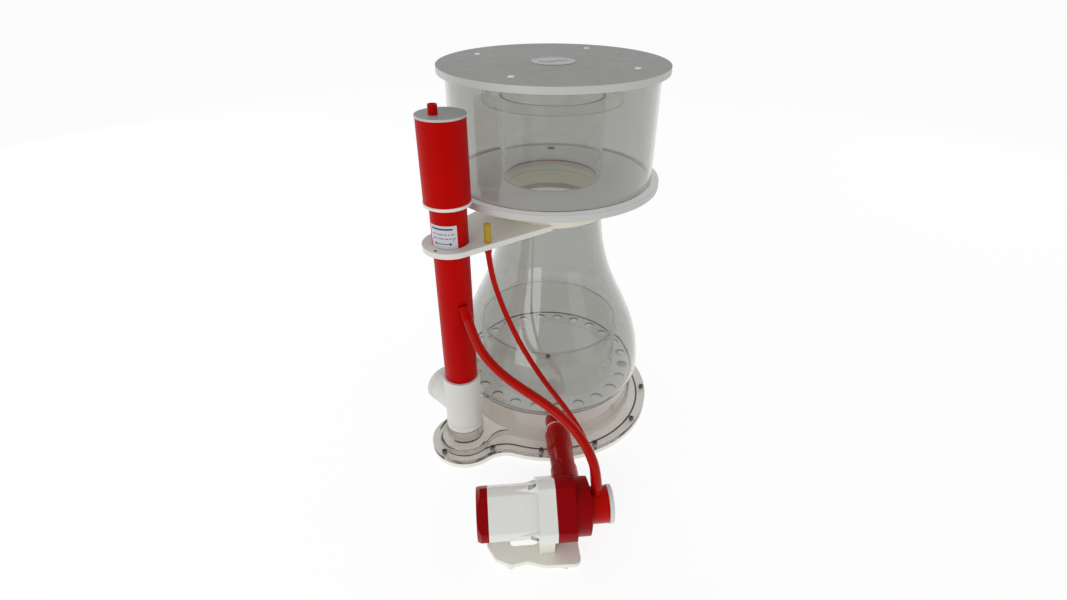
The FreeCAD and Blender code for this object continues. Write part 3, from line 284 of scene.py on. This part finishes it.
def painted_side_tone(tree, surface, painted_side_color):
    """The surface's own colour on level faces, a painted side colour on upright ones: painted shade
    where it is darker, painted light where it is lighter.
    """
    blend = tree.nodes.new("ShaderNodeMixRGB")
    blend.inputs["Color1"].default_value = (*painted_side_color, 1)
    blend.inputs["Color2"].default_value = surface.inputs["Base Color"].default_value
    if surface.inputs["Base Color"].is_linked:
        tree.links.new(surface.inputs["Base Color"].links[0].from_socket, blend.inputs["Color2"])
    tree.links.new(level_mask(tree, 0.0, 1.0), blend.inputs["Fac"])
    tree.links.new(blend.outputs["Color"], surface.inputs["Base Color"])


def plastic(name, color, rough, vary=0.06, coat=0.0, grain=900.0, bump=0.15, stretch=None,
            shine=0.5, glint=(1, 1, 1)):
    """Solid plastic: slow colour drift, fine grain in gloss and bump, dull handling marks."""
    made, tree, surface = shader(name)
    drift = two_tone(tree, noise(tree, DRIFT_SCALE), tinted(color, DRIFT_SHADE), color)
    tree.links.new(drift, surface.inputs["Base Color"])
    marks = noise(tree, MARK_SCALE, MARK_DETAIL, stretch)
    tree.links.new(spread(tree, marks, rough - vary, rough + vary), surface.inputs["Roughness"])
    bumped(tree, surface, noise(tree, grain, GRAIN_DETAIL, stretch), bump, GRAIN_DEPTH)
    surface.inputs["Coat Weight"].default_value = coat
    surface.inputs["Coat Roughness"].default_value = COAT_ROUGHNESS
    surface.inputs["Specular IOR Level"].default_value = shine
    surface.inputs["Specular Tint"].default_value = (*glint, 1)
    return made


def plastic_painted_sides(name, color, painted_side_color, rough):
    """Plastic sheet: level faces keep their colour, upright sides take a painted side colour for the
    shade or light that falls on them.
    """
    made = plastic(name, color, rough)
    painted_side_tone(made.node_tree, made.node_tree.nodes["Principled BSDF"], painted_side_color)
    return made


def silicone(name, color, rough, glow):
    """Soft translucent silicone: light carries a little way into it."""
    made = plastic(name, color, rough, vary=0.04, grain=500.0, bump=0.05, shine=0.4,
                   glint=RED_GLINT)
    surface = made.node_tree.nodes["Principled BSDF"]
    surface.inputs["Subsurface Weight"].default_value = glow
    surface.inputs["Subsurface Radius"].default_value = GLOW_REACH
    surface.inputs["Subsurface Scale"].default_value = 1.0
    return made


def metal(name, color, rough):
    """Metal with a fine grain and slight stains."""
    made, tree, surface = shader(name)
    stains = two_tone(tree, noise(tree, STAIN_SCALE), tinted(color, STAIN_SHADE), color)
    tree.links.new(stains, surface.inputs["Base Color"])
    grain = noise(tree, METAL_SCALE, METAL_DETAIL)
    gloss = spread(tree, grain, rough - METAL_SMOOTHER, rough + METAL_ROUGHER)
    tree.links.new(gloss, surface.inputs["Roughness"])
    bumped(tree, surface, grain, METAL_BUMP, METAL_DEPTH)
    surface.inputs["Metallic"].default_value = 1.0
    return made


def sawn_edges(tree, surface, rough, amount):
    """Level faces are saw cuts: there the sheet is matt and lets less light through."""
    tree.links.new(level_mask(tree, 1.0, 1.0 - amount), surface.inputs["Transmission Weight"])
    tree.links.new(level_mask(tree, rough, SAWN_ROUGHNESS), surface.inputs["Roughness"])


def worn(tree, surface, rough):
    """Fine wear in the gloss."""
    wear = noise(tree, WEAR_SCALE, WEAR_DETAIL)
    gloss = spread(tree, wear, rough * WEAR_LEAST, rough * WEAR_MOST)
    tree.links.new(gloss, surface.inputs["Roughness"])


def lamps_pass(made):
    """Shadow and diffuse rays go straight through, so the lamps light what stands inside."""
    tree = made.node_tree
    ray = tree.nodes.new("ShaderNodeLightPath")
    either = tree.nodes.new("ShaderNodeMath")
    either.operation = "MAXIMUM"
    tree.links.new(ray.outputs["Is Shadow Ray"], either.inputs[0])
    tree.links.new(ray.outputs["Is Diffuse Ray"], either.inputs[1])
    open_way = tree.nodes.new("ShaderNodeBsdfTransparent")
    open_way.inputs["Color"].default_value = (LAMP_SHARE, LAMP_SHARE, LAMP_SHARE, 1)
    mix = tree.nodes.new("ShaderNodeMixShader")
    tree.links.new(either.outputs[0], mix.inputs["Fac"])
    tree.links.new(tree.nodes["Principled BSDF"].outputs["BSDF"], mix.inputs[1])
    tree.links.new(open_way.outputs["BSDF"], mix.inputs[2])
    tree.links.new(mix.outputs["Shader"], tree.nodes["Material Output"].inputs["Surface"])


def clear(name, color, rough, wave=0.02, ior=1.49, milk=0.0, sawn=0.0, painted_side=None):
    """Clear sheet or tube with faint waves, and fine wear where it isn't sawn."""
    made, tree, surface = shader(name)
    surface.inputs["Base Color"].default_value = (*color, 1)
    surface.inputs["Transmission Weight"].default_value = 1.0 - milk
    surface.inputs["IOR"].default_value = ior
    bumped(tree, surface, noise(tree, WAVE_SCALE, WAVE_DETAIL), wave, WAVE_DEPTH)
    if sawn > 0:
        sawn_edges(tree, surface, rough, sawn)
    else:
        worn(tree, surface, rough)
    # A painted side colour darkens the tint on upright faces: painted shade.
    if painted_side is not None:
        painted_side_tone(tree, surface, painted_side)
    lamps_pass(made)
    return made


acrylic = clear("clear_acrylic", (0.57, 0.575, 0.55), 0.02)
inner_clear = clear("inner_acrylic", (0.92, 0.925, 0.91), 0.03, sawn=0.6)
# Painted shade: the upright faces of the chamber and the outlet stub take a darker tint.
chamber_clear = clear("chamber_acrylic", (0.91, 0.89, 0.86), 0.03, painted_side=(0.68, 0.64, 0.60))
# Painted shade: the bubble plate's upright faces, the walls of its holes among them, are near black.
frosted = clear("frosted_acrylic", (0.80, 0.80, 0.77), 0.50, wave=0.0, milk=0.92,
                painted_side=(0.22, 0.22, 0.21))
soft_clear = clear("clear_rubber", (0.86, 0.87, 0.85), 0.22, ior=1.43)
SEE_THROUGH = (acrylic, inner_clear, chamber_clear, frosted, soft_clear)
white_pvc = plastic("white_pvc", (0.64, 0.63, 0.59), 0.42)
base_white = plastic("base_white_pvc", (0.88, 0.86, 0.80), 0.45)
# Painted light and shade: the cup floor's level faces are a lightened white, its upright rim a painted
# shade.
cup_floor_painted_light_shade = plastic_painted_sides("cup_floor_pvc", (0.90, 0.89, 0.86), (0.48, 0.48, 0.46), 0.40)
# Painted light: the foot and the motor saddle are a lighter white so that they look lit where they stand
# in shade.
foot_painted_light = plastic("foot_pvc", (0.84, 0.82, 0.74), 0.36, coat=0.1)
# Painted shade and light: the tops of the lid and the silencer cap are dark grey for the shade on them,
# their upright rims a little lighter.
lid_painted_shade = plastic_painted_sides("lid_painted_shade", (0.33, 0.335, 0.31), (0.44, 0.445, 0.42), 0.45)
cream_pvc = plastic("cream_pvc", (0.66, 0.64, 0.52), 0.45)
motor_white = plastic("motor_white", (0.76, 0.76, 0.715), 0.30, coat=0.3)
red_pvc = plastic("red_pvc", (0.40, 0.0006, 0.0006), 0.46, stretch=(1, 1, 0.08), shine=0.14,
                  glint=RED_GLINT)
dark_red = plastic("dark_red_plastic", (0.25, 0.0006, 0.003), 0.34, shine=0.22, glint=RED_GLINT)
bright_red = plastic("bright_red_pvc", (0.44, 0.002, 0.001), 0.30, shine=0.3, glint=RED_GLINT)
yellow = plastic("yellow_plastic", (0.40, 0.25, 0.004), 0.34, shine=0.3)
black_plastic = plastic("black_plastic", (0.02, 0.02, 0.02), 0.5)
black_rubber = plastic("black_rubber", (0.025, 0.025, 0.025), 0.65)
seal_red = plastic("red_seal", (0.30, 0.004, 0.004), 0.45, shine=0.2, glint=RED_GLINT)
white_nylon = plastic("white_nylon", (0.84, 0.84, 0.81), 0.38)
label_film = plastic("label_film", (0.50, 0.51, 0.55), 0.28, coat=0.2)
label_ink = plastic("label_ink", (0.03, 0.03, 0.05), 0.5)
foam_grey = plastic("foam", (0.08, 0.08, 0.08), 0.9, grain=300.0, bump=0.8)
resin = plastic("resin", (0.10, 0.10, 0.11), 0.5)
magnet = plastic("magnet", (0.12, 0.12, 0.13), 0.45)
ceramic = plastic("ceramic", (0.85, 0.85, 0.80), 0.2)
grey_plastic = plastic("grey_plastic", (0.35, 0.36, 0.37), 0.45)
steel = metal("stainless", (0.24, 0.225, 0.20), 0.34)
badge_silver = plastic("badge", (0.36, 0.36, 0.35), 0.25, coat=0.5)
badge_light = plastic("badge_light", (0.52, 0.52, 0.51), 0.3, coat=0.3)
badge_rose = plastic("badge_rose", (0.30, 0.14, 0.14), 0.3, coat=0.3)
red_hose = silicone("red_hose", (0.36, 0.002, 0.001), 0.17, 0.08)
red_silicone = silicone("red_silicone", (0.27, 0.001, 0.001), 0.18, 0.08)


# ---------------------------------------------------------------- camera
def place_camera():
    """The camera at the solved place, turned by its heading, tilt and roll."""
    data = bpy.data.cameras.new("camera")
    data.lens = CAMERA_LENS
    data.sensor_width = SENSOR_WIDTH
    data.clip_start = 0.01
    data.clip_end = 50.0
    camera = bpy.data.objects.new("camera", data)
    scene.collection.objects.link(camera)
    forward = Vector((
        math.cos(CAMERA_HEADING) * math.cos(CAMERA_TILT),
        math.sin(CAMERA_HEADING) * math.cos(CAMERA_TILT),
        -math.sin(CAMERA_TILT),
    ))
    turn = forward.to_track_quat("-Z", "Y").to_matrix().to_4x4()
    roll = Matrix.Rotation(CAMERA_ROLL, 4, "Z")
    camera.matrix_world = Matrix.Translation(CAMERA_PLACE) @ turn @ roll
    scene.camera = camera


place_camera()


# ---------------------------------------------------------------- hoses
def spline_curve(name, route, depth):
    """A smooth open NURBS curve with the route's points as its control points."""
    data = bpy.data.curves.new(name, "CURVE")
    data.dimensions = "3D"
    data.resolution_u = CURVE_STEPS
    data.bevel_depth = depth
    data.bevel_resolution = CURVE_ROUND_STEPS
    data.use_fill_caps = True
    spline = data.splines.new("NURBS")
    spline.points.add(len(route) - 1)
    for point, place in zip(spline.points, route):
        point.co = (*place, 1.0)
    spline.order_u = CURVE_ORDER
    spline.use_endpoint_u = True
    spline.points[0].radius = END_SWELL
    spline.points[-1].radius = END_SWELL
    made = bpy.data.objects.new(name, data)
    scene.collection.objects.link(made)
    return made


def line_points(route):
    """Points read along the route's own spline, for a mesh tube."""
    bare = spline_curve("bare_line", route, 0.0)
    bare.data.use_fill_caps = False
    mesh = bpy.data.meshes.new_from_object(bare)
    points = [tuple(vertex.co) for vertex in mesh.vertices]
    bpy.data.objects.remove(bare)
    bpy.data.meshes.remove(mesh)
    return points


def make_air_hose():
    """The thick hose: a mesh tube made from its curve, with its place baked in and put on no body."""
    curve = spline_curve("air_hose_curve", AIR_ROUTE, AIR_DIAMETER / 2)
    mesh = bpy.data.meshes.new_from_object(curve)
    bpy.data.objects.remove(curve)
    for face in mesh.polygons:
        face.use_smooth = True
    hose = bpy.data.objects.new("air_hose_tube", mesh)
    scene.collection.objects.link(hose)
    hose.data.materials.clear()
    hose.data.materials.append(red_hose)
    line_points(AIR_ROUTE)
    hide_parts("air_hose")
    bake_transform(hose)


def make_dosing_hose():
    """The thin hose: both of its ends stay with the body, so it stays a curve."""
    hose = spline_curve("dosing_hose_tube", DOSE_ROUTE, DOSE_DIAMETER / 2)
    hose.data.materials.append(red_hose)
    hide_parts("dosing_hose")
    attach(hose, "root")


make_air_hose()
make_dosing_hose()


# ---------------------------------------------------------------- pieces from the frame's own shapes
def body_named(node):
    """The body a CAD node moves with."""
    return frame["nodes"][node]["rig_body"]


def finished(node, material, edge):
    """A finished copy of a CAD node: flat faces made whole, edges rounded, smooth between them."""
    bm = bmesh.new()
    bm.from_mesh(frame["nodes"][node].data)
    bmesh.ops.remove_doubles(bm, verts=bm.verts, dist=WELD)
    bmesh.ops.dissolve_limit(bm, angle_limit=FLAT_ANGLE, verts=bm.verts, edges=bm.edges)
    if material in SEE_THROUGH:
        bm.normal_update()
        moves = [vertex.normal * (AIR_GAP * vertex.calc_shell_factor()) for vertex in bm.verts]
        for vertex, move in zip(bm.verts, moves):
            vertex.co -= move
    mesh = bpy.data.meshes.new(node + "_finished")
    bm.to_mesh(mesh)
    bm.free()
    for name in ("custom_normal", "sharp_face"):
        if name in mesh.attributes:
            mesh.attributes.remove(mesh.attributes[name])
    mesh.shade_smooth()
    mesh.set_sharp_from_angle(angle=SHARP_ANGLE)
    mesh.materials.clear()
    mesh.materials.append(material)
    piece = bpy.data.objects.new(node + "_finished", mesh)
    scene.collection.objects.link(piece)
    if edge > 0:
        bevel = piece.modifiers.new("edges", "BEVEL")
        bevel.width = edge
        bevel.segments = EDGE_STEPS
        bevel.limit_method = "ANGLE"
        bevel.angle_limit = SHARP_ANGLE
        bevel.use_clamp_overlap = True
        bevel.miter_outer = "MITER_ARC"
        bevel.harden_normals = False
        weighted = piece.modifiers.new("shading", "WEIGHTED_NORMAL")
        weighted.keep_sharp = True
        weighted.weight = FLAT_FACE_WEIGHT
    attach(piece, body_named(node))
    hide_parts(node)


# Each node's material and the radius of its rounded edges.
FINISHES = {
    "base_plate": (base_white, 0.0008),
    "base_seal": (black_rubber, 0.0),
    "base_feet": (soft_clear, 0.0004),
    "lower_chamber": (chamber_clear, 0.0006),
    "flange_screws": (steel, 0.0002),
    "bubble_plate": (frosted, 0.0004),
    "plate_post": (inner_clear, 0.0003),
    "plate_screw": (steel, 0.0002),
    "diffuser_ring": (inner_clear, 0.0004),
    "reaction_body": (acrylic, 0.0),
    "neck_collar": (cream_pvc, 0.0006),
    "riser_bracket": (white_pvc, 0.0007),
    "bracket_pin": (black_plastic, 0.0),
    "bracket_nipple": (red_hose, 0.0002),
    "valve_plug": (yellow, 0.0003),
    "outlet_stub": (chamber_clear, 0.0004),
    "outlet_tee": (white_pvc, 0.0008),
    "riser_tube": (red_pvc, 0.0004),
    "riser_label": (label_film, 0.0),
    "hose_nipple": (red_pvc, 0.0002),
    "silencer_base": (white_pvc, 0.0004),
    "silencer_body": (red_pvc, 0.0004),
    "silencer_cap": (lid_painted_shade, 0.0005),
    "air_nozzle": (red_pvc, 0.0003),
    "silencer_foam": (foam_grey, 0.0),
    "cup_floor": (cup_floor_painted_light_shade, 0.0007),
    "cup_wall": (acrylic, 0.0004),
    "cup_neck": (inner_clear, 0.0004),
    "cup_neck_seal": (seal_red, 0.0003),
    "cup_spigot": (cream_pvc, 0.0006),
    "spigot_seal": (black_rubber, 0.0003),
    "drain_nipple": (seal_red, 0.0003),
    "lid_plate": (lid_painted_shade, 0.0009),
    "lid_ring": (inner_clear, 0.0004),
    "lid_screws": (white_nylon, 0.0003),
    "lid_badge": (badge_silver, 0.0002),
    "motor_housing": (motor_white, 0.0010),
    "motor_end_cap": (dark_red, 0.0010),
    "cable_gland": (black_plastic, 0.0003),
    "pump_screws": (steel, 0.0002),
    "volute": (dark_red, 0.0008),
    "suction_tube": (bright_red, 0.0005),
    "suction_ring": (white_pvc, 0.0004),
    "suction_nipples": (bright_red, 0.0002),
    "pressure_sleeve": (red_silicone, 0.0008),
    "inlet_stub": (bright_red, 0.0004),
    "pump_foot": (foot_painted_light, 0.0008),
    "pump_pads": (soft_clear, 0.0004),
    "motor_saddle": (foot_painted_light, 0.0008),
    "stator": (resin, 0.0),
    "rotor_can": (grey_plastic, 0.0),
    "rotor_bearings": (ceramic, 0.0),
    "rotor_magnet": (magnet, 0.0),
    "rotor_shaft": (ceramic, 0.0),
    "needle_wheel": (white_nylon, 0.0),
}
for node, (material, edge) in FINISHES.items():
    finished(node, material, edge)


# ---------------------------------------------------------------- label and badge graphics
def centre_of(node):
    """The middle of a CAD node's box."""
    low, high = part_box(node)
    return [(a + b) / 2 for a, b in zip(low, high)]


def new_piece(name, points, faces, material, body):
    """A mesh piece that rides on a body."""
    mesh = bpy.data.meshes.new(name)
    mesh.from_pydata(points, [], faces)
    mesh.materials.append(material)
    piece = bpy.data.objects.new(name, mesh)
    scene.collection.objects.link(piece)
    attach(piece, body)


def wrapped(name, corners):
    """A thin printed shape on the riser: corners are (angle in degrees, height) pairs."""
    middle = centre_of("riser_tube")
    rings = []
    for out in (PRINT_RADIUS, PRINT_RADIUS + INK_THICK):
        rings.append([(middle[0] + out * math.cos(math.radians(turn)),
                       middle[1] + out * math.sin(math.radians(turn)), height)
                      for turn, height in corners])
    count = len(corners)
    faces = [tuple(range(count))[::-1], tuple(range(count, 2 * count))]
    faces += [(i, (i + 1) % count, count + (i + 1) % count, count + i) for i in range(count)]
    new_piece(name, rings[0] + rings[1], faces, label_ink, "riser")


def ink_bar(name, start, end, low, high):
    """A printed bar between two angles, in short flat steps so that it follows the tube."""
    steps = max(1, round((end - start) / PRINT_STEP))
    for index in range(steps):
        a = start + (end - start) * index / steps
        b = start + (end - start) * (index + 1) / steps
        wrapped("%s_%d" % (name, index), [(a, low), (b, low), (b, high), (a, high)])


def make_label():
    """Generic print: a heading bar, two ruled lines of dashes and a two-way turning arrow."""
    low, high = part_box("riser_label")
    bottom, top = low[2], high[2]
    ink_bar("label_heading", HEADING_FROM, HEADING_TO, top - HEADING_LOW, top - HEADING_HIGH)
    for row, depth in enumerate(ROW_DEPTHS):
        height = top - depth
        start = ROW_FROM + ROW_SHIFT * row
        for index, width in enumerate(DASH_WIDTHS):
            ink_bar("label_line_%d_%d" % (row, index), start, start + width, height,
                    height + DASH_HEIGHT)
            start += width + DASH_GAP
    middle = bottom + ARROW_HEIGHT
    ink_bar("label_arrow", ARROW_FROM, ARROW_TO, middle - ARROW_HALF, middle + ARROW_HALF)
    for index, (tip, back) in enumerate(ARROW_HEADS):
        corners = [(tip, middle), (back, middle - ARROW_HEAD_HALF), (back, middle + ARROW_HEAD_HALF)]
        if back < tip:
            corners.reverse()
        wrapped("label_arrow_head_%d" % index, corners)
    for index, turn in enumerate(MARK_PLACES):
        ink_bar("label_mark_%d" % index, turn - MARK_HALF, turn + MARK_HALF, middle + MARK_LOW,
                middle + MARK_HIGH)


def make_ring(low, high):
    """A flat ring round the badge."""
    middle = centre_of("lid_badge")
    points = []
    for radius, height in ((RING_INNER, low), (RING_OUTER, low), (RING_OUTER, high), (RING_INNER, high)):
        points += [(middle[0] + radius * math.cos(math.tau * i / RING_STEPS),
                    middle[1] + radius * math.sin(math.tau * i / RING_STEPS), height)
                   for i in range(RING_STEPS)]
    faces = []
    for band in range(4):
        here, there = band * RING_STEPS, ((band + 1) % 4) * RING_STEPS
        for i in range(RING_STEPS):
            j = (i + 1) % RING_STEPS
            faces.append((here + i, here + j, there + j, there + i))
    new_piece("badge_ring", points, faces, badge_light, "lid")


def badge_wave(name, shift, width, low, high, material):
    """A wave across the badge, thick in the middle and pointed at both ends."""
    middle = centre_of("lid_badge")
    row = WAVE_STEPS + 1
    upper, lower = [], []
    for i in range(row):
        along = -WAVE_LENGTH / 2 + WAVE_LENGTH * i / WAVE_STEPS
        rise = WAVE_SWING * math.sin(math.tau * along / WAVE_LENGTH) + shift
        half = width * math.sin(math.pi * (i + 0.5) / row)
        upper.append((middle[0] + along, middle[1] + rise + half))
        lower.append((middle[0] + along, middle[1] + rise - half))
    points = [(x, y, z) for z in (low, high) for line in (lower, upper) for x, y in line]
    faces = []
    for i in range(WAVE_STEPS):
        faces.append((i, row + i, row + i + 1, i + 1))
        faces.append((2 * row + i, 2 * row + i + 1, 3 * row + i + 1, 3 * row + i))
        faces.append((i, i + 1, 2 * row + i + 1, 2 * row + i))
        faces.append((row + i, 3 * row + i, 3 * row + i + 1, row + i + 1))
    last = WAVE_STEPS
    faces.append((0, 2 * row, 3 * row, row))
    faces.append((last, row + last, 3 * row + last, 2 * row + last))
    new_piece(name, points, faces, material, "lid")


def make_badge():
    """A ring and two waves in place of a mark."""
    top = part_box("lid_badge")[1][2]
    make_ring(top - RING_SUNK, top + RING_RAISED)
    badge_wave("badge_wave_light", 0.0050, 0.0030, top - WAVE_SUNK, top + 0.00015, badge_light)
    badge_wave("badge_wave_rose", -0.0035, 0.0026, top - WAVE_SUNK, top + 0.00018, badge_rose)


make_label()
make_badge()


# ---------------------------------------------------------------- floor and light
def make_floor():
    """A pale level floor that runs past the top of the picture."""
    half = FLOOR_HALF
    corners = [(-half, -half, 0), (half, -half, 0), (half, half, 0), (-half, half, 0)]
    mesh = bpy.data.meshes.new("floor")
    mesh.from_pydata(corners, [], [(0, 1, 2, 3)])
    floor = bpy.data.objects.new("floor", mesh)
    scene.collection.objects.link(floor)
    made, _, surface = shader("floor")
    surface.inputs["Base Color"].default_value = (FLOOR_SHADE, FLOOR_SHADE, FLOOR_SHADE, 1)
    surface.inputs["Roughness"].default_value = 0.8
    surface.inputs["Specular IOR Level"].default_value = 0.1
    surface.inputs["Emission Color"].default_value = (1, 1, 1, 1)
    surface.inputs["Emission Strength"].default_value = FLOOR_GLOW
    mesh.materials.append(made)


def soft_box(name, place, size, power):
    """A wide lamp that looks at the middle of the object."""
    data = bpy.data.lights.new(name, "AREA")
    data.shape = "RECTANGLE"
    data.size, data.size_y = size
    data.energy = power
    lamp = bpy.data.objects.new(name, data)
    scene.collection.objects.link(lamp)
    way = Vector(LAMP_AIM) - Vector(place)
    turn = way.to_track_quat("-Z", "Y").to_matrix().to_4x4()
    lamp.matrix_world = Matrix.Translation(place) @ turn


def make_light():
    """An even pale sky and four lamps."""
    world = bpy.data.worlds.new("world")
    world.use_nodes = True
    sky = world.node_tree.nodes["Background"]
    sky.inputs["Color"].default_value = (*SKY_COLOR, 1)
    sky.inputs["Strength"].default_value = SKY_STRENGTH
    scene.world = world
    for name, (place, size, power) in LAMPS.items():
        soft_box(name, place, size, power)


make_floor()
make_light()
scene.view_settings.view_transform = "Standard"
scene.cycles.transparent_max_bounces = 32
scene.cycles.transmission_bounces = 24
scene.cycles.max_bounces = 28
